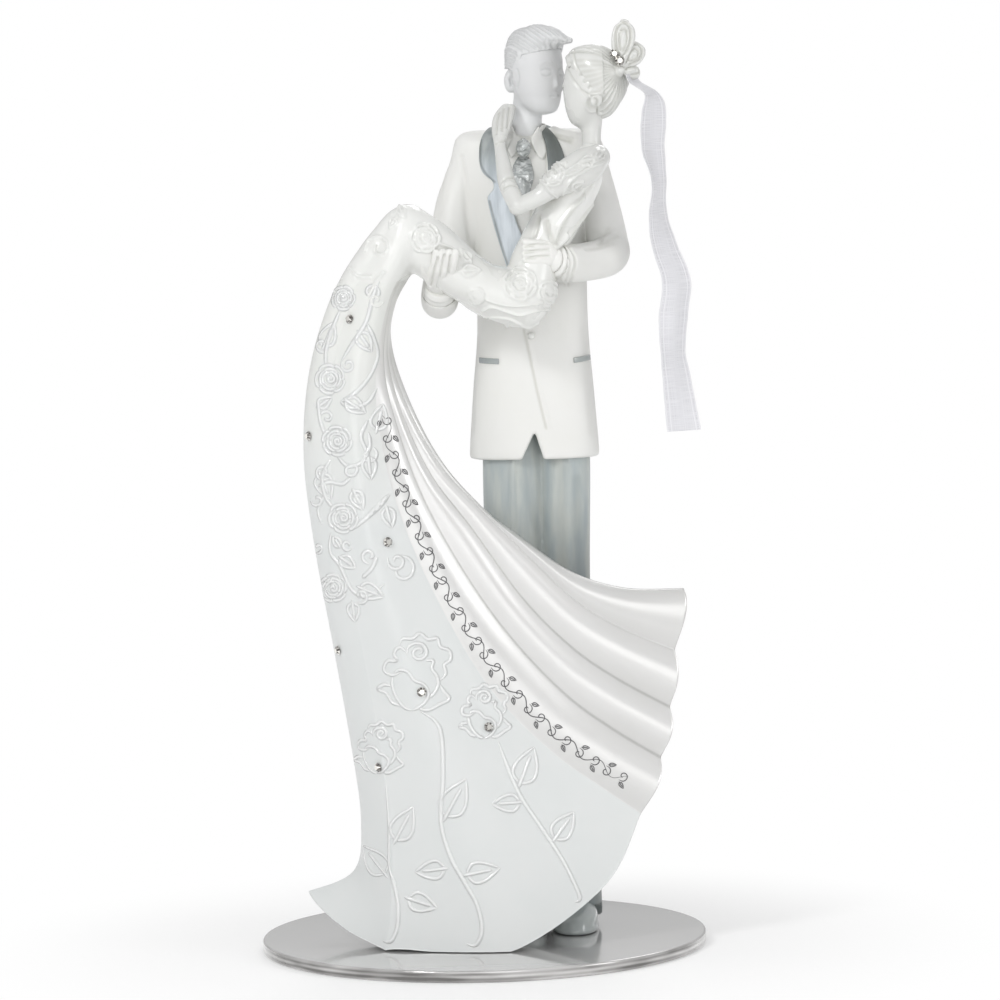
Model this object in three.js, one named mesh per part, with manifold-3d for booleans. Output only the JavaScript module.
// Wedding cake topper: a groom carries a bride in a long gown, on a clear round base.
// Millimetres, +Z up. The origin is the middle of the base's underside and -Y is the front.

import * as THREE from "three";
import { mergeVertices } from "three/addons/utils/BufferGeometryUtils.js";
import Module from "manifold-3d";

// Driving dimensions
const BASE_DIAMETER = 114;
const BASE_THICKNESS = 3;
const BASE_BEVEL = 0.5;
const BASE_SIDES = 60;
const MODULE = 20; // the sculptor's module, about one head: sculpted places are shares of it
const SEAT_GAP = 0.3; // between two castings that meet
const OVERRUN = 60; // how far a cutting block runs past what it cuts

// The groom's clothes and hands, as shares of the module
const SHIRT_BELOW_SHARE = 0.035; // how far the shirt lies below the jacket's face
const SHIRT_WALL_SHARE = 0.025; // between the shirt and the walls and floor of its bed
const LAPEL_DEPTH_SHARE = 0.045;
const TIE_DEPTH_SHARE = 0.05;
const WELT_DEPTH_SHARE = 0.025;
const WELT_HEIGHT_SHARE = 0.075;
const CUFF_RADIUS_SHARE = 0.2;
const FINGER_RADIUS_SHARE = 0.05;

// Bride's finery
const PLEAT_HEIGHT_SHARE = 0.075; // how far a pleat's ridge stands proud of its creases at the hem
const CRYSTAL_DIAMETER = 2.4;
const CRYSTAL_HEIGHT = 1.1;
const RIBBON_WIDTH = 10;
const RIBBON_THICKNESS = 0.4;

// Weld distance for vertices that are the same point
const WELD = 1e-4;

const wasm = await Module();
wasm.setup();

// A place above the base, from shares of the module
const place = (x, y, z) => new THREE.Vector3(x * MODULE, y * MODULE, BASE_THICKNESS + z * MODULE);

// Rows of numbers on a Catmull-Rom curve through the rows of a table
function between(table, steps) {
  const row = (i) => table[Math.min(Math.max(i, 0), table.length - 1)];
  const rows = [];
  for (let i = 0; i < table.length - 1; i++) {
    const [a, b, c, d] = [row(i - 1), row(i), row(i + 1), row(i + 2)];
    for (let k = 0; k < steps; k++) {
      const t = k / steps;
      rows.push(b.map((_, j) => {
        const slope = (c[j] - a[j]) / 2;
        const next = (d[j] - b[j]) / 2;
        const rise = c[j] - b[j];
        return b[j] + t * (slope + t * (3 * rise - 2 * slope - next + t * (slope + next - 2 * rise)));
      }));
    }
  }
  rows.push(row(table.length - 1));
  return rows;
}

// A closed geometry from points and triangles, turned so that its faces point out
function closed(points, triangles) {
  let volume = 0;
  const normal = new THREE.Vector3();
  for (const [a, b, c] of triangles) {
    volume += points[a].dot(normal.crossVectors(points[b], points[c]));
  }
  const index = volume < 0 ? triangles.map(([a, b, c]) => [a, c, b]) : triangles;
  const geometry = new THREE.BufferGeometry().setFromPoints(points);
  return geometry.setIndex(index.flat());
}

// A skin over a row of rings, with a point at each end
function skin(rings, first, last) {
  const around = rings[0].length;
  const points = [first, ...rings.flat(), last];
  const id = (ring, k) => 1 + ring * around + (k % around);
  const triangles = [];
  for (let k = 0; k < around; k++) {
    triangles.push([0, id(0, k + 1), id(0, k)]);
    triangles.push([points.length - 1, id(rings.length - 1, k), id(rings.length - 1, k + 1)]);
    for (let ring = 0; ring < rings.length - 1; ring++) {
      triangles.push([id(ring, k), id(ring, k + 1), id(ring + 1, k + 1)]);
      triangles.push([id(ring, k), id(ring + 1, k + 1), id(ring + 1, k)]);
    }
  }
  return closed(points, triangles);
}

// A solid from a closed geometry, and back
function solid(geometry) {
  const bare = new THREE.BufferGeometry();
  bare.setAttribute("position", geometry.getAttribute("position"));
  bare.setIndex(geometry.getIndex());
  const merged = mergeVertices(bare, WELD);
  return new wasm.Manifold(new wasm.Mesh({
    numProp: 3,
    vertProperties: merged.getAttribute("position").array,
    triVerts: new Uint32Array(merged.getIndex().array),
  }));
}

function geometryOf(manifold) {
  const mesh = manifold.getMesh();
  const geometry = new THREE.BufferGeometry();
  geometry.setAttribute("position", new THREE.BufferAttribute(mesh.vertProperties, 3));
  geometry.setIndex(new THREE.BufferAttribute(mesh.triVerts, 1));
  return geometry;
}

// The same solid with its faces moved out by a distance
function swell(manifold, by) {
  const geometry = geometryOf(manifold);
  geometry.computeVertexNormals();
  const position = geometry.getAttribute("position");
  const normal = geometry.getAttribute("normal");
  for (let i = 0; i < position.count; i++) {
    const point = new THREE.Vector3().fromBufferAttribute(position, i);
    point.addScaledVector(new THREE.Vector3().fromBufferAttribute(normal, i), by);
    position.setXYZ(i, point.x, point.y, point.z);
  }
  return solid(geometry);
}

const largest = (manifold) => manifold.decompose().sort((a, b) => b.volume() - a.volume())[0];

// A piece with the room that its neighbours need cut out of it
function seat(piece, ...neighbours) {
  const room = neighbours.flatMap((neighbour) => [swell(neighbour, SEAT_GAP), neighbour]);
  return largest(room.reduce((rest, block) => rest.subtract(block), piece));
}

// A point on a rounded ring
function onRing(turn, power) {
  const bow = (value) => Math.sign(value) * Math.abs(value) ** (2 / power);
  return [bow(Math.cos(turn)), bow(Math.sin(turn))];
}

// A standing body from level sections. A row holds shares: height, x, y, half width, half depth.
function column(shares, { sides = 24, steps = 3, power = 2 } = {}) {
  const rows = between(shares, steps);
  const rings = rows.filter(([, , , wide]) => wide > 0).map(([z, x, y, wide, deep]) => {
    const ring = [];
    for (let k = 0; k < sides; k++) {
      const [across, back] = onRing((k / sides) * 2 * Math.PI, power);
      ring.push(place(x + wide * across, y + deep * back, z));
    }
    return ring;
  });
  const [low, high] = [rows[0], rows[rows.length - 1]];
  return solid(skin(rings, place(low[1], low[2], low[0]), place(high[1], high[2], high[0])));
}

// A limb along a path. A row holds shares: x, y, z, half width, and half depth where it differs.
function limb(shares, { sides = 12, steps = 3, domes = 2 } = {}) {
  const rows = between(shares.map((row) => (row.length > 4 ? row : [...row, row[3]])), steps);
  const spots = rows.map(([x, y, z]) => place(x, y, z));
  const ways = spots.map((_, i) => spots[Math.min(i + 1, spots.length - 1)].clone()
    .sub(spots[Math.max(i - 1, 0)]).normalize());
  let front = new THREE.Vector3(0, -1, 0);
  if (Math.abs(ways[0].y) > Math.SQRT1_2) front = new THREE.Vector3(0, 0, 1);
  const frames = ways.map((way) => {
    front = front.clone().addScaledVector(way, -front.dot(way)).normalize();
    return [new THREE.Vector3().crossVectors(way, front), front];
  });
  const ringAt = (i, out, scale) => {
    const [side, ahead] = frames[i];
    const centre = spots[i].clone().addScaledVector(ways[i], out);
    const ring = [];
    for (let k = 0; k < sides; k++) {
      const turn = (k / sides) * 2 * Math.PI;
      ring.push(centre.clone()
        .addScaledVector(side, Math.cos(turn) * rows[i][3] * MODULE * scale)
        .addScaledVector(ahead, Math.sin(turn) * rows[i][4] * MODULE * scale));
    }
    return ring;
  };
  const reach = (i) => Math.min(rows[i][3], rows[i][4]) * MODULE;
  const rings = [];
  const end = rows.length - 1;
  for (let d = domes; d > 0; d--) {
    const lean = (d / (domes + 1)) * (Math.PI / 2);
    rings.push(ringAt(0, -reach(0) * Math.sin(lean), Math.cos(lean)));
  }
  rows.forEach((_, i) => rings.push(ringAt(i, 0, 1)));
  for (let d = 1; d <= domes; d++) {
    const lean = (d / (domes + 1)) * (Math.PI / 2);
    rings.push(ringAt(end, reach(end) * Math.sin(lean), Math.cos(lean)));
  }
  const tip = (i, sign) => spots[i].clone().addScaledVector(ways[i], domes ? sign * reach(i) : 0);
  return solid(skin(rings, tip(0, -1), tip(end, 1)));
}

// A block with a front-view outline, from well in front of the topper back to a plane
function prism(outlineShares, backShare) {
  const corners = outlineShares.map(([x, z]) => place(x, 0, z)).map((p) => new THREE.Vector2(p.x, p.z));
  const depth = OVERRUN + backShare * MODULE;
  const geometry = new THREE.ExtrudeGeometry(new THREE.Shape(corners), { depth, bevelEnabled: false });
  geometry.rotateX(Math.PI / 2);
  geometry.translate(0, backShare * MODULE, 0);
  geometry.deleteAttribute("normal");
  geometry.deleteAttribute("uv");
  return solid(geometry);
}

// How far back the cuts and layers on the front of the groom reach
const FRONT_SHARE = 0.45;

// An outline drawn anticlockwise, with its sides moved in by a distance
function inset(outline, by) {
  const count = outline.length;
  const sides = outline.map((from, i) => {
    const to = outline[(i + 1) % count];
    const way = new THREE.Vector2(to[0] - from[0], to[1] - from[1]).normalize();
    return { from: [from[0] - way.y * by, from[1] + way.x * by], way };
  });
  return sides.map(({ from, way }, i) => {
    const before = sides[(i + count - 1) % count];
    const turn = before.way.cross(way);
    const gap = new THREE.Vector2(from[0] - before.from[0], from[1] - before.from[1]);
    const along = gap.cross(way) / turn;
    return [before.from[0] + before.way.x * along, before.from[1] + before.way.y * along];
  });
}

// A layer that lies on a body's face inside a front-view outline
function layer(body, outline, depthShare) {
  const shell = swell(body, SEAT_GAP + depthShare * MODULE).subtract(swell(body, SEAT_GAP));
  return largest(shell.intersect(prism(outline, FRONT_SHARE)));
}

// A ball, stretched along each axis. Its shares are x, y, z and the half sizes.
function egg([x, y, z, wide, deep, tall], sides = 16) {
  const geometry = new THREE.SphereGeometry(1, sides, sides / 2);
  geometry.scale(wide * MODULE, deep * MODULE, tall * MODULE);
  geometry.translate(...place(x, y, z).toArray());
  return solid(geometry);
}

// Finishes
const finish = (color, roughness, metalness = 0) => ({ color, roughness, metalness });
const FINISHES = {
  clear: { ...finish(0xc9c8c6, 0.05), transparent: true, opacity: 0.5 },
  bisque: finish(0xe0e2e4, 0.6),
  ivory: finish(0xece9e2, 0.5),
  pearl: finish(0xf2f1ec, 0.35),
  slate: finish(0x9ea9ad, 0.55),
  silver: finish(0xb4bcc6, 0.35, 0.3),
  crystal: finish(0xd8d2c6, 0.05),
  organza: finish(0xdcdce0, 0.7),
};

const topper = new THREE.Group();
function add(name, manifold, kind) {
  const mesh = new THREE.Mesh(geometryOf(manifold), new THREE.MeshStandardMaterial(FINISHES[kind]));
  mesh.name = name;
  topper.add(mesh);
}

// Base: a clear disc with a small bevel round both edges
function base() {
  const radius = BASE_DIAMETER / 2;
  const profile = [
    [0, 0],
    [radius - BASE_BEVEL, 0],
    [radius, BASE_BEVEL],
    [radius, BASE_THICKNESS - BASE_BEVEL],
    [radius - BASE_BEVEL, BASE_THICKNESS],
    [0, BASE_THICKNESS],
  ].map(([r, z]) => new THREE.Vector2(r, z));
  return solid(new THREE.LatheGeometry(profile, BASE_SIDES).rotateX(Math.PI / 2));
}

// Trousers: two straight legs that meet along the middle, with the seat inside the jacket
const FAR_LEG_SHARES = [
  [0.3, 0.49, 0.42, 0.37, 0.42],
  [2.5, 0.5, 0.42, 0.37, 0.41],
  [4.5, 0.5, 0.42, 0.375, 0.41],
  [6.2, 0.51, 0.43, 0.38, 0.4],
  [6.9, 0.53, 0.47, 0.32, 0.32],
];
const NEAR_LEG_SHARES = [
  [0.3, 1.19, 0.42, 0.345, 0.42],
  [2.5, 1.15, 0.42, 0.33, 0.41],
  [4.5, 1.15, 0.42, 0.32, 0.41],
  [6.2, 1.18, 0.43, 0.325, 0.4],
  [6.9, 1.12, 0.47, 0.3, 0.32],
];
const LEG = { sides: 18, steps: 2, power: 2.3 };
const trousers = column(FAR_LEG_SHARES, LEG).add(column(NEAR_LEG_SHARES, LEG));
add("groom_trousers", trousers, "slate");

// Shoes: round toes that look out in front of the trouser legs
const SHOE_SHARES = [
  [SEAT_GAP / MODULE, 0.2, 0.27, 0.62],
  [0.08, 0.19, 0.3, 0.66],
  [0.2, 0.22, 0.29, 0.6],
  [0.34, 0.33, 0.24, 0.44],
  [0.44, 0.4, 0.14, 0.3],
];
const SHOE_PLACE_SHARES = { groom_shoe_left: 1.17, groom_shoe_right: 0.52 };
for (const [name, x] of Object.entries(SHOE_PLACE_SHARES)) {
  const rows = SHOE_SHARES.map(([z, ...rest]) => [z, x, ...rest]);
  add(name, seat(column(rows, { sides: 16, steps: 1, power: 2.4 }), trousers), "slate");
}
add("base_disc", base(), "clear");

// Head and neck: an egg turned towards the bride, with one ear in view
const HEAD_SHARES = [
  [10.47, 1.01, 0.1, 0, 0],
  [10.51, 1.01, 0.08, 0.15, 0.16],
  [10.62, 0.98, 0.1, 0.24, 0.29],
  [10.8, 0.95, 0.14, 0.3, 0.37],
  [11.0, 0.93, 0.17, 0.335, 0.41],
  [11.2, 0.92, 0.2, 0.345, 0.43],
  [11.38, 0.91, 0.22, 0.3, 0.38],
  [11.5, 0.9, 0.24, 0.19, 0.25],
  [11.55, 0.9, 0.25, 0, 0],
];
const NECK_SHARES = [
  [0.78, 0.42, 9.95, 0.25],
  [0.78, 0.36, 10.25, 0.205],
  [0.81, 0.3, 10.55, 0.195],
  [0.86, 0.25, 10.8, 0.21],
];
const EAR_SHARES = [0.62, 0.2, 10.85, 0.06, 0.09, 0.16];
const groomHead = column(HEAD_SHARES, { sides: 16, steps: 2 })
  .add(limb(NECK_SHARES, { steps: 1, domes: 1 }))
  .add(egg(EAR_SHARES, 10));
add("groom_head", groomHead, "bisque");

// Jacket: a long straight coat, wider at its hem, open at the chest and at the vent
const JACKET_SHARES = [
  [6.09, 0.79, 0.47, 0.82, 0.57],
  [6.2, 0.795, 0.48, 0.83, 0.58],
  [6.95, 0.8, 0.49, 0.775, 0.53],
  [7.8, 0.81, 0.5, 0.71, 0.5],
  [8.8, 0.8, 0.5, 0.73, 0.5],
  [9.6, 0.78, 0.5, 0.8, 0.52],
  [10.08, 0.78, 0.5, 0.84, 0.42],
  [10.24, 0.78, 0.48, 0.66, 0.28],
  [10.3, 0.78, 0.46, 0.36, 0.16],
];
const VENT_SHARES = [[0.49, 5.8], [0.8, 6.45], [0.99, 5.8]];
const SHIRT_SHARES = [
  [0.42, 10.5], [0.5, 9.6], [0.62, 8.6], [0.7, 8.1], [0.88, 8.7], [1.02, 9.6], [1.04, 10.5],
];
const BED_SHARE = 0.13; // the plane of the floor that the shirt lies on
const COLLAR_SHARES = [[0.78, 0.36, 9.98, 0.3], [0.79, 0.33, 10.36, 0.25]];
const coat = column(JACKET_SHARES, { sides: 24, steps: 2, power: 2.5 });
const collar = limb(COLLAR_SHARES, { sides: 16, steps: 1, domes: 0 });
const jacket = seat(
  coat.subtract(prism(SHIRT_SHARES, BED_SHARE)).subtract(prism(VENT_SHARES, FRONT_SHARE)),
  trousers, groomHead, collar,
);
add("groom_jacket", jacket, "ivory");

// Hair: a close cap with a swept crest over the brow
const HAIR_SHARES = [
  [10.6, 0.8, 0.5, 0, 0],
  [10.66, 0.8, 0.44, 0.18, 0.18],
  [10.85, 0.84, 0.32, 0.29, 0.35],
  [11.1, 0.86, 0.26, 0.345, 0.43],
  [11.3, 0.9, 0.23, 0.375, 0.46],
  [11.46, 0.94, 0.2, 0.36, 0.41],
  [11.57, 0.95, 0.19, 0.25, 0.28],
  [11.61, 0.93, 0.2, 0, 0],
];
const CREST_SHARES = [
  [0.95, 0.02, 11.48, 0.14, 0.2],
  [1.15, -0.1, 11.45, 0.12, 0.17],
  [1.36, -0.16, 11.41, 0.04, 0.06],
];
const FACE_SHARES = [
  [0.6, 10.2], [0.66, 10.75], [0.7, 11.09], [0.75, 11.24], [1.09, 11.3], [1.31, 11.31], [2, 11.3], [2, 10.2],
];
const FACE_BACK_SHARE = 0.2;
const crest = limb(CREST_SHARES, { sides: 10, steps: 2 });
const hair = seat(
  column(HAIR_SHARES, { sides: 16, steps: 2 }).add(crest).subtract(prism(FACE_SHARES, FACE_BACK_SHARE)),
  groomHead,
);
add("groom_hair", hair, "bisque");

// Shirt: it fills its bed in the jacket, with a band round the neck
const shirtFace = swell(coat, -SHIRT_BELOW_SHARE * MODULE);
const shirtFront = shirtFace.intersect(
  prism(inset(SHIRT_SHARES, SHIRT_WALL_SHARE), BED_SHARE - SHIRT_WALL_SHARE),
);
const shirt = seat(shirtFront.add(collar), groomHead);
add("groom_shirt", shirt, "ivory");

// Tie: a blade that widens from the knot, over the shirt
const TIE_SHARES = [[0.66, 10.0], [0.59, 9.73], [0.67, 9.48], [0.82, 9.48], [0.87, 9.73], [0.82, 10.0]];
const TIE_KNOT_SHARES = [0.745, 0.01, 10.06, 0.095, 0.07, 0.11];
const tieBlade = layer(shirtFace, TIE_SHARES, TIE_DEPTH_SHARE);
const tie = seat(tieBlade.add(egg(TIE_KNOT_SHARES, 12)), shirt, jacket);
add("groom_tie", tie, "silver");

// Lapels: a notched one down the near chest and a rounded one behind the bride's arm
const FAR_LAPEL_SHARES = [
  [0.35, 10.6], [0.19, 10.2], [0.17, 9.95], [0.195, 9.78], [0.28, 9.67], [0.355, 9.59], [0.275, 9.43],
  [0.36, 8.95], [0.51, 8.53], [0.64, 8.52], [0.7, 8.65], [0.66, 9.0], [0.56, 9.6], [0.47, 10.1], [0.46, 10.6],
];
const NEAR_LAPEL_SHARES = [
  [0.98, 10.6], [1.13, 10.25], [1.28, 9.91], [1.2, 9.6], [1.05, 9.5], [1.05, 9.83], [0.98, 10.25],
];
const LAPELS = { groom_lapel_right: FAR_LAPEL_SHARES, groom_lapel_left: NEAR_LAPEL_SHARES };
for (const [name, outline] of Object.entries(LAPELS)) {
  const band = layer(coat, outline, LAPEL_DEPTH_SHARE);
  add(name, seat(band, groomHead, shirt, tie), "silver");
}

// Button and pocket welts on the jacket's face
const BUTTON_SHARES = [0.785, -0.03, 7.675, 0.045, 0.045, 0.045];
add("jacket_button", seat(egg(BUTTON_SHARES, 10), jacket), "pearl");
const WELT_PLACE_SHARES = {
  pocket_welt_right: [0.11, 7.36, 0.365, 7.35],
  pocket_welt_left: [1.32, 7.34, 1.54, 7.36],
};
for (const [name, [left, leftHeight, right, rightHeight]] of Object.entries(WELT_PLACE_SHARES)) {
  const half = WELT_HEIGHT_SHARE / 2;
  const outline = [
    [left, leftHeight - half], [right, rightHeight - half],
    [right, rightHeight + half], [left, leftHeight + half],
  ];
  add(name, layer(coat, outline, WELT_DEPTH_SHARE), "silver");
}

// Gown's skirt. Each strand is one line of the front view, from the knee's crown down to the hem.
// Its places are shares of the module: x and height. mid is its depth at the crown, half way down
// and at the hem, and full is how much of the gown's half depth it has.
const STRAND_SHARES = [
  {
    mid: [-1, -0.7, -0.15],
    full: 0,
    line: [
      [-0.84, 9.37], [-1.03, 9.24], [-1.35, 8.87], [-1.73, 8.26], [-2.03, 7.33], [-2.13, 6.28],
      [-2.03, 5.12], [-1.81, 3.71], [-1.62, 2.41], [-1.54, 1.53], [-1.65, 0.9], [-2.24, 0.67],
    ],
  },
  {
    mid: [-1.01, -0.88, -0.98],
    full: 0.76,
    line: [
      [-0.8, 9.39], [-0.91, 9.25], [-1.15, 8.84], [-1.48, 8.25], [-1.71, 7.35], [-1.78, 6.31],
      [-1.67, 5.17], [-1.43, 3.78], [-1.24, 2.51], [-1.14, 1.43], [-1.16, 0.67], [-1.25, 0.11],
    ],
  },
  {
    mid: [-1.02, -1, -1.2],
    full: 1,
    line: [
      [-0.76, 9.4], [-0.8, 9.23], [-0.96, 8.81], [-1.25, 8.25], [-1.47, 7.38], [-1.5, 6.38],
      [-1.35, 5.25], [-1.02, 3.98], [-0.62, 2.71], [-0.23, 1.57], [0.02, 0.61], [0.16, -0.04],
    ],
  },
  {
    mid: [-1.02, -1, -0.92],
    full: 0.88,
    line: [
      [-0.72, 9.39], [-0.71, 9.22], [-0.83, 8.78], [-1.1, 8.24], [-1.32, 7.35], [-1.32, 6.43],
      [-1.14, 5.36], [-0.71, 4.21], [-0.1, 3.12], [0.56, 2.15], [1.11, 1.37], [1.5, 0.73],
    ],
  },
  {
    mid: [-1.02, -1, -0.85],
    full: 0.58,
    line: [
      [-0.7, 9.39], [-0.64, 9.21], [-0.74, 8.75], [-1, 8.21], [-1.18, 7.36], [-1.14, 6.48],
      [-0.9, 5.47], [-0.44, 4.36], [0.18, 3.27], [0.91, 2.48], [1.51, 2.02], [2.02, 1.65],
    ],
  },
  {
    mid: [-1, -0.94, -0.82],
    full: 0.4,
    line: [
      [-0.68, 9.38], [-0.59, 9.19], [-0.69, 8.73], [-0.97, 8.19], [-1.08, 7.45], [-0.96, 6.74],
      [-0.67, 5.83], [-0.21, 4.9], [0.37, 4.01], [1.06, 3.23], [1.68, 2.74], [2.29, 2.35],
    ],
  },
  {
    mid: [-0.98, -0.87, -0.79],
    full: 0.3,
    line: [
      [-0.66, 9.38], [-0.57, 9.18], [-0.66, 8.72], [-0.93, 8.18], [-1.03, 7.53], [-0.87, 6.81],
      [-0.53, 6.02], [-0.03, 5.32], [0.58, 4.43], [1.17, 3.8], [1.73, 3.38], [2.42, 2.98],
    ],
  },
  {
    mid: [-0.95, -0.8, -0.78],
    full: 0.22,
    line: [
      [-0.66, 9.38], [-0.54, 9.18], [-0.62, 8.7], [-0.91, 8.18], [-1, 7.59], [-0.83, 6.95],
      [-0.43, 6.16], [0.08, 5.56], [0.7, 4.91], [1.28, 4.34], [1.84, 3.99], [2.5, 3.7],
    ],
  },
  {
    mid: [-0.92, -0.72, -0.8],
    full: 0.15,
    line: [
      [-0.65, 9.38], [-0.52, 9.16], [-0.6, 8.68], [-0.87, 8.36], [-0.99, 7.77], [-0.85, 7.13],
      [-0.48, 6.3], [0.02, 5.63], [0.58, 5.17], [1.22, 4.71], [1.89, 4.49], [2.63, 4.47],
    ],
  },
];
const HALF_DEPTH_SHARES = [0.1, 0.27, 0.37, 0.38, 0.41, 0.44, 0.45, 0.45, 0.44, 0.42, 0.41, 0.4];
const FIRST_PLEAT = 4; // the strand of the seam, from which the pleats run
const PLEAT_START_SHARE = 0.2; // of the way down, where the pleats begin to rise
const STRAND_STEPS = 3;
const GAP_STEPS = 3;

// The mid surface at each row of a strand: x, y, height and half depth, as shares
function strandRows({ mid, full, line }) {
  const last = line.length - 1;
  const table = line.map(([x, z], i) => {
    const v = i / last;
    const [top, middle, hem] = mid;
    const y = top * (1 - v) * (1 - 2 * v) + middle * 4 * v * (1 - v) + hem * v * (2 * v - 1);
    return [x, y, z, HALF_DEPTH_SHARES[i] * full];
  });
  return between(table, STRAND_STEPS);
}

function gownSkirt() {
  const strands = STRAND_SHARES.map(strandRows);
  const rings = strands[0].map((_, row) => {
    const across = strands.map((rows) => rows[row]);
    const spread = between(across.slice(1), GAP_STEPS);
    const [edge, next] = across;
    const round = [];
    for (let k = 0; k < GAP_STEPS; k++) {
      const turn = (k / GAP_STEPS) * (Math.PI / 2);
      const inward = 1 - Math.cos(turn);
      const [x, y, z] = edge.map((value, j) => value + (next[j] - value) * inward);
      round.push([x, y, z, next[3] * Math.sin(turn)]);
    }
    const down = row / (strands[0].length - 1);
    const growth = Math.max(0, down - PLEAT_START_SHARE) / (1 - PLEAT_START_SHARE);
    const front = [...round, ...spread].map(([x, y, z, half], i) => {
      const strand = i / GAP_STEPS;
      const bulge = strand > FIRST_PLEAT ? Math.sin(Math.PI * (strand % 1)) * growth : 0;
      return [place(x, y - half - bulge * PLEAT_HEIGHT_SHARE, z), place(x, y + half, z)];
    });
    return [...front.map(([near]) => near), ...front.slice(1).map(([, far]) => far).reverse()];
  });
  const around = rings[0].length;
  const half = (around - 1) / 2;
  const crown = rings[0].reduce((sum, p) => sum.add(p), new THREE.Vector3()).divideScalar(around);
  const points = [crown, ...rings.flat()];
  const id = (ring, k) => 1 + ring * around + (k % around);
  const triangles = [];
  for (let k = 0; k < around; k++) {
    triangles.push([0, id(0, k), id(0, k + 1)]);
    for (let ring = 0; ring < rings.length - 1; ring++) {
      triangles.push([id(ring, k), id(ring + 1, k), id(ring + 1, k + 1)]);
      triangles.push([id(ring, k), id(ring + 1, k + 1), id(ring, k + 1)]);
    }
  }
  const hem = rings.length - 1;
  triangles.push([id(hem, 0), id(hem, around - 1), id(hem, 1)]);
  for (let k = 1; k < half; k++) {
    triangles.push([id(hem, k), id(hem, around - k), id(hem, k + 1)]);
    triangles.push([id(hem, k + 1), id(hem, around - k), id(hem, around - k - 1)]);
  }
  return solid(closed(points, triangles));
}
const underFloor = wasm.Manifold.cube([2 * OVERRUN, 2 * OVERRUN, OVERRUN])
  .translate([-OVERRUN, -OVERRUN, BASE_THICKNESS + SEAT_GAP - OVERRUN]);
const skirt = largest(gownSkirt().subtract(underFloor));
add("gown_skirt", skirt, "pearl");

// Bride's body: hips and thighs across the groom's arms, and the back that leans on his left arm
const LAP_SHARES = [
  [0.65, -0.68, 8.22, 0.42],
  [0.25, -0.73, 8.38, 0.41],
  [-0.15, -0.83, 8.59, 0.38],
  [-0.5, -0.93, 8.88, 0.365],
  [-0.72, -0.97, 9.03, 0.35],
];
const TORSO_SHARES = [
  [0.72, -0.66, 8.3, 0.36, 0.38],
  [0.82, -0.62, 8.6, 0.32, 0.35],
  [0.96, -0.58, 8.85, 0.3, 0.33],
  [1.13, -0.55, 9.15, 0.3, 0.33],
  [1.3, -0.53, 9.45, 0.31, 0.34],
  [1.47, -0.52, 9.75, 0.28, 0.31],
  [1.58, -0.5, 9.95, 0.17, 0.22],
];
const lap = seat(limb(LAP_SHARES, { sides: 16, steps: 2 }), skirt, jacket);
const torso = seat(limb(TORSO_SHARES, { sides: 14, steps: 2 }), lap, jacket);
add("gown_lap", lap, "pearl");
add("bride_bodice", torso, "pearl");

// Bride's head: face turned away to the groom, on a slim neck
const BRIDE_HEAD_SHARES = [
  [10.3, 1.47, -0.4, 0, 0],
  [10.36, 1.48, -0.4, 0.12, 0.15],
  [10.48, 1.5, -0.4, 0.2, 0.24],
  [10.63, 1.56, -0.4, 0.29, 0.31],
  [10.8, 1.62, -0.4, 0.36, 0.36],
  [11.0, 1.64, -0.4, 0.355, 0.35],
  [11.18, 1.64, -0.4, 0.27, 0.27],
  [11.28, 1.64, -0.4, 0, 0],
];
const BRIDE_NECK_SHARES = [[1.6, -0.45, 9.9, 0.15], [1.6, -0.42, 10.15, 0.12], [1.62, -0.4, 10.45, 0.13]];
const brideHead = seat(column(BRIDE_HEAD_SHARES, { sides: 16, steps: 2 })
  .add(limb(BRIDE_NECK_SHARES, { steps: 1, domes: 1 })), groomHead, hair, torso);
add("bride_head", brideHead, "pearl");

// Bride's hair: drawn back smooth to the bow
const BRIDE_HAIR_SHARES = [
  [10.4, 1.72, -0.38, 0, 0],
  [10.46, 1.73, -0.38, 0.13, 0.17],
  [10.62, 1.75, -0.4, 0.24, 0.32],
  [10.85, 1.75, -0.4, 0.345, 0.4],
  [11.05, 1.7, -0.4, 0.38, 0.41],
  [11.22, 1.65, -0.4, 0.33, 0.34],
  [11.32, 1.62, -0.4, 0.2, 0.22],
  [11.36, 1.62, -0.4, 0, 0],
];
const BRIDE_FACE_SHARES = [
  [1, 11.5], [1.29, 11.31], [1.31, 11.13], [1.37, 10.99], [1.45, 10.84], [1.56, 10.74],
  [1.66, 10.6], [1.71, 10.4], [1.7, 10.2], [1, 10.2],
];
const brideHair = seat(column(BRIDE_HAIR_SHARES, { sides: 16, steps: 2 })
  .subtract(prism(BRIDE_FACE_SHARES, OVERRUN / MODULE)), brideHead, groomHead, hair);
add("bride_hair", brideHair, "pearl");

// Crystals: cut stones, glued to the gown and beside the bow
const STONE_SHARES = [[0, 0], [0.6, 0], [1, 0.45], [0.55, 1], [0, 1]]; // of its radius and height
function crystal(bed, x, z) {
  const ray = new THREE.Raycaster(place(x, -OVERRUN / MODULE, z), new THREE.Vector3(0, 1, 0));
  const face = new THREE.Mesh(geometryOf(bed), new THREE.MeshBasicMaterial());
  const { point, face: { normal } } = ray.intersectObject(face)[0];
  const radius = CRYSTAL_DIAMETER / 2;
  const profile = STONE_SHARES.map(([r, h]) => new THREE.Vector2(r * radius, h * CRYSTAL_HEIGHT));
  const stone = new THREE.LatheGeometry(profile, 8);
  stone.applyQuaternion(new THREE.Quaternion().setFromUnitVectors(new THREE.Vector3(0, 1, 0), normal));
  stone.translate(...point.addScaledVector(normal, SEAT_GAP).toArray());
  return seat(solid(stone), bed);
}
const HAIR_CRYSTAL_SHARES = [[1.865, 11.215], [1.925, 11.08]];
const hairStones = HAIR_CRYSTAL_SHARES.map(([x, z]) => crystal(brideHair, x, z));
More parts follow.
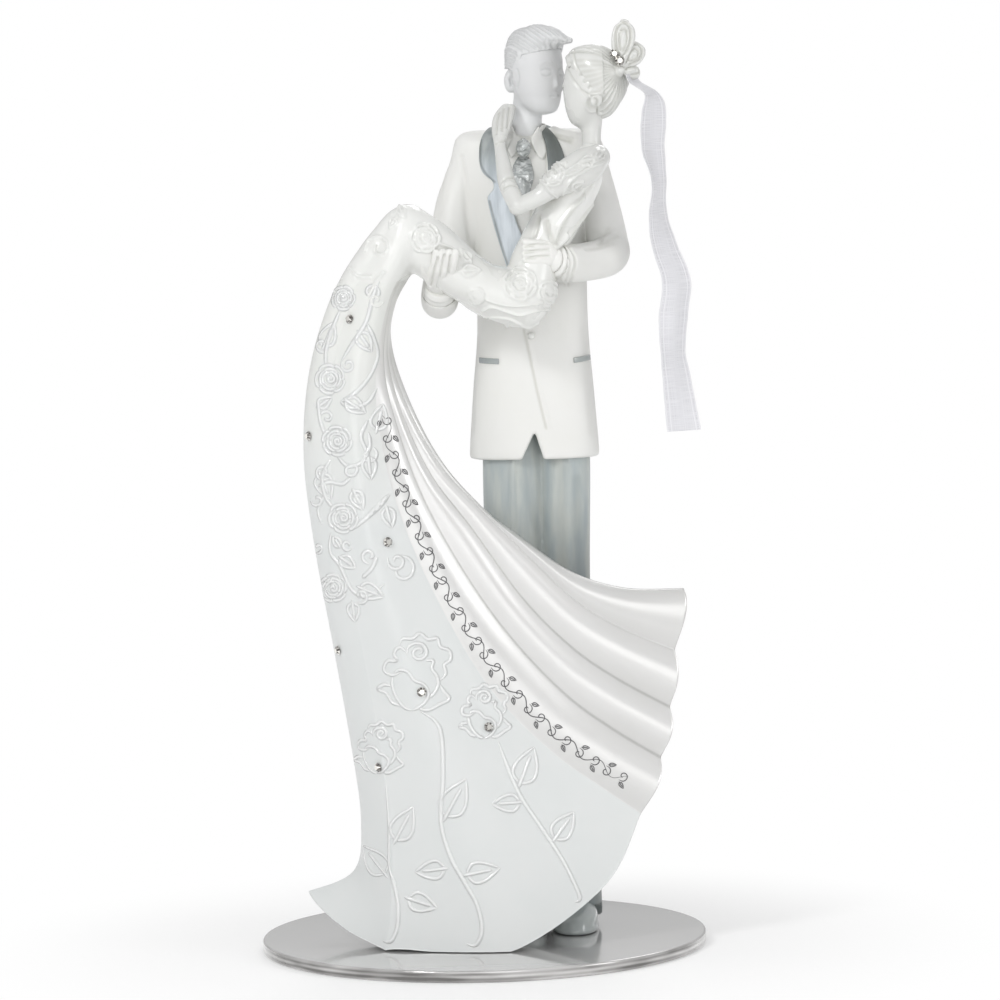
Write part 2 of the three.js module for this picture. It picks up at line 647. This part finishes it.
hairStones.forEach((stone, i) => add(`hair_crystal_${i + 1}`, stone, "crystal"));

// Bow: a knot at the back of the hair and three loops
const BOW_KNOT_SHARES = [1.98, -0.66, 11.02, 0.065, 0.065, 0.06];
const LOOP_SHARES = {
  bow_loop_top: [
    [1.995, -0.66, 11.12, 0.05],
    [2.01, -0.65, 11.28, 0.11, 0.07],
    [2.04, -0.62, 11.48, 0.13, 0.075],
    [2.05, -0.6, 11.58, 0.1, 0.06],
  ],
  bow_loop_middle: [
    [2.03, -0.63, 11.08, 0.045],
    [2.11, -0.6, 11.18, 0.11, 0.07],
    [2.18, -0.57, 11.28, 0.12, 0.07],
    [2.22, -0.55, 11.34, 0.08, 0.055],
  ],
  bow_loop_lower: [
    [2.05, -0.64, 11.0, 0.04],
    [2.12, -0.62, 10.98, 0.085, 0.065],
    [2.17, -0.6, 10.975, 0.08, 0.06],
  ],
};
const bowKnot = seat(egg(BOW_KNOT_SHARES, 10), brideHair, brideHead, ...hairStones);
add("bow_knot", bowKnot, "pearl");
const bowPieces = [bowKnot];
for (const [name, shares] of Object.entries(LOOP_SHARES)) {
  const loop = seat(limb(shares, { sides: 10, steps: 2 }), ...bowPieces, ...hairStones, brideHair);
  bowPieces.push(loop);
  add(name, loop, "pearl");
}

// Bride's arm: the sleeved upper arm down to the elbow, and the forearm up to the groom's neck
const UPPER_ARM_SHARES = [
  [1.66, -0.62, 9.93, 0.17],
  [1.5, -0.8, 9.83, 0.23],
  [1.26, -0.9, 9.7, 0.21],
  [1.05, -0.96, 9.57, 0.15],
  [0.9, -0.98, 9.46, 0.115],
  [0.64, -1, 9.35, 0.11],
];
const FOREARM_SHARES = [
  [0.65, -1, 9.36, 0.115],
  [0.53, -0.8, 9.62, 0.115],
  [0.48, -0.6, 9.88, 0.095],
  [0.445, -0.4, 10.11, 0.075],
  [0.46, -0.22, 10.3, 0.12, 0.08],
  [0.5, -0.05, 10.45, 0.14, 0.08],
  [0.56, 0.1, 10.57, 0.11, 0.06],
];
const upperArm = seat(limb(UPPER_ARM_SHARES, { steps: 2 }), torso, brideHead, jacket);
add("bride_upper_arm", upperArm, "pearl");
const forearm = seat(limb(FOREARM_SHARES, { steps: 2 }), upperArm, groomHead, hair, jacket, shirt, tie);
add("bride_forearm", forearm, "pearl");

// Groom's sleeves, cuffs and hands: one arm under the bride's knees, the other behind her back
const FAR_SLEEVE_SHARES = [
  [0.1, 0.5, 9.95, 0.25],
  [-0.12, 0.43, 9.35, 0.27],
  [-0.26, 0.2, 8.73, 0.26],
  [-0.35, -0.15, 8.28, 0.245],
  [-0.365, -0.42, 8.17, 0.235],
  [-0.365, -0.62, 8.24, 0.23],
];
const NEAR_SLEEVE_SHARES = [
  [1.53, 0.45, 9.95, 0.25],
  [1.7, 0.42, 9.35, 0.27],
  [1.79, 0.3, 8.8, 0.28],
  [1.77, 0.08, 8.57, 0.275],
  [1.52, -0.25, 8.58, 0.25],
  [1.27, -0.55, 8.6, 0.24],
];
const SLEEVE = { sides: 14, steps: 2, domes: 1 };
const farSleeve = seat(limb(FAR_SLEEVE_SHARES, SLEEVE), jacket, lap, torso, skirt);
const nearSleeve = seat(limb(NEAR_SLEEVE_SHARES, SLEEVE), jacket, lap, torso, upperArm);
add("groom_sleeve_right", farSleeve, "ivory");
add("groom_sleeve_left", nearSleeve, "ivory");

// A hand is a flat palm with fingers: each finger's row of places runs from knuckle to tip
const CUFF_SHARES = {
  right: [[-0.365, -0.55, 8.2], [-0.36, -0.82, 8.38]],
  left: [[1.2, -0.63, 8.62], [1.07, -0.77, 8.66]],
};
const PALM_SHARES = {
  right: [[-0.36, -0.76, 8.35, 0.16, 0.13], [-0.345, -1, 8.46, 0.17, 0.1], [-0.33, -1.18, 8.6, 0.17, 0.08]],
  left: [[1.12, -0.72, 8.65, 0.14, 0.13], [1.02, -0.82, 8.71, 0.17, 0.11], [0.92, -0.88, 8.76, 0.15, 0.08]],
};
const FINGER_SHARES = {
  right: [
    [[-0.435, -1.16, 8.55], [-0.41, -1.27, 8.68], [-0.385, -1.31, 8.81]],
    [[-0.355, -1.16, 8.55], [-0.33, -1.27, 8.68], [-0.305, -1.31, 8.81]],
    [[-0.275, -1.16, 8.55], [-0.25, -1.27, 8.68], [-0.225, -1.31, 8.81]],
    [[-0.195, -1.16, 8.55], [-0.17, -1.27, 8.68], [-0.145, -1.31, 8.81]],
    [[-0.47, -0.95, 8.42], [-0.54, -1.1, 8.57], [-0.56, -1.18, 8.67]],
  ],
  left: [
    [[1.02, -0.86, 8.64], [0.86, -0.93, 8.66], [0.73, -0.92, 8.68]],
    [[1.02, -0.86, 8.715], [0.86, -0.93, 8.735], [0.73, -0.92, 8.755]],
    [[1.02, -0.86, 8.79], [0.86, -0.93, 8.81], [0.73, -0.92, 8.83]],
    [[1.02, -0.86, 8.865], [0.86, -0.93, 8.885], [0.73, -0.92, 8.905]],
  ],
};
for (const [side, sleeve] of [["right", farSleeve], ["left", nearSleeve]]) {
  const cuffRows = CUFF_SHARES[side].map((spot) => [...spot, CUFF_RADIUS_SHARE]);
  const cuff = seat(limb(cuffRows, { sides: 16, steps: 1, domes: 0 }), sleeve, lap, torso, skirt);
  add(`groom_cuff_${side}`, cuff, "ivory");
  const hand = FINGER_SHARES[side].reduce((whole, finger) => {
    const rows = finger.map((spot) => [...spot, FINGER_RADIUS_SHARE]);
    return whole.add(limb(rows, { sides: 8, steps: 1, domes: 1 }));
  }, limb(PALM_SHARES[side], { steps: 2, domes: 1 }));
  add(`groom_hand_${side}`, seat(hand, cuff, sleeve, lap, torso, skirt), "ivory");
}

const GOWN_CRYSTAL_SHARES = [
  [-1.49, 7.97], [-2.02, 6.5], [-1.02, 5.1], [-1.68, 3.77], [-0.6, 3.22], [0.25, 2.77], [-1.18, 2.28],
];
GOWN_CRYSTAL_SHARES.forEach(([x, z], i) => add(`gown_crystal_${i + 1}`, crystal(skirt, x, z), "crystal"));

// Ribbon tail: a strip of organza that hangs from the bow, turning as it falls.
// A row holds x, y and height as shares of the module, and its turn out of the front view in degrees.
const RIBBON_SHARES = [
  [2.12, -0.6, 10.97, 72],
  [2.16, -0.58, 10.87, 72],
  [2.37, -0.46, 10.71, 66],
  [2.39, -0.33, 10.46, 48],
  [2.37, -0.28, 10.03, 54],
  [2.43, -0.34, 9.62, 66],
  [2.42, -0.36, 9.2, 60],
  [2.5, -0.28, 8.8, 50],
  [2.65, -0.16, 8.34, 40],
  [2.61, -0.14, 7.9, 40],
  [2.59, -0.2, 7.45, 50],
  [2.63, -0.2, 7.05, 40],
  [2.7, -0.12, 6.42, 30],
];
function ribbon() {
  const across = 4;
  const half = RIBBON_WIDTH / 2;
  const rings = between(RIBBON_SHARES, 3).map(([x, y, z, degrees]) => {
    const turn = THREE.MathUtils.degToRad(degrees);
    const width = new THREE.Vector3(Math.cos(turn), Math.sin(turn), 0);
    const through = new THREE.Vector3(-Math.sin(turn), Math.cos(turn), 0);
    const line = [];
    for (let k = 0; k <= across; k++) {
      line.push(place(x, y, z).addScaledVector(width, half * ((2 * k) / across - 1)));
    }
    const near = line.map((p) => p.clone().addScaledVector(through, -RIBBON_THICKNESS / 2));
    const far = line.map((p) => p.clone().addScaledVector(through, RIBBON_THICKNESS / 2));
    return [...near, ...far.reverse()];
  });
  const middle = (ring) => ring.reduce((sum, p) => sum.add(p), new THREE.Vector3()).divideScalar(ring.length);
  return solid(skin(rings, middle(rings[0]), middle(rings[rings.length - 1])));
}
add("ribbon_tail", seat(ribbon(), ...bowPieces, brideHair), "organza");

export default topper;
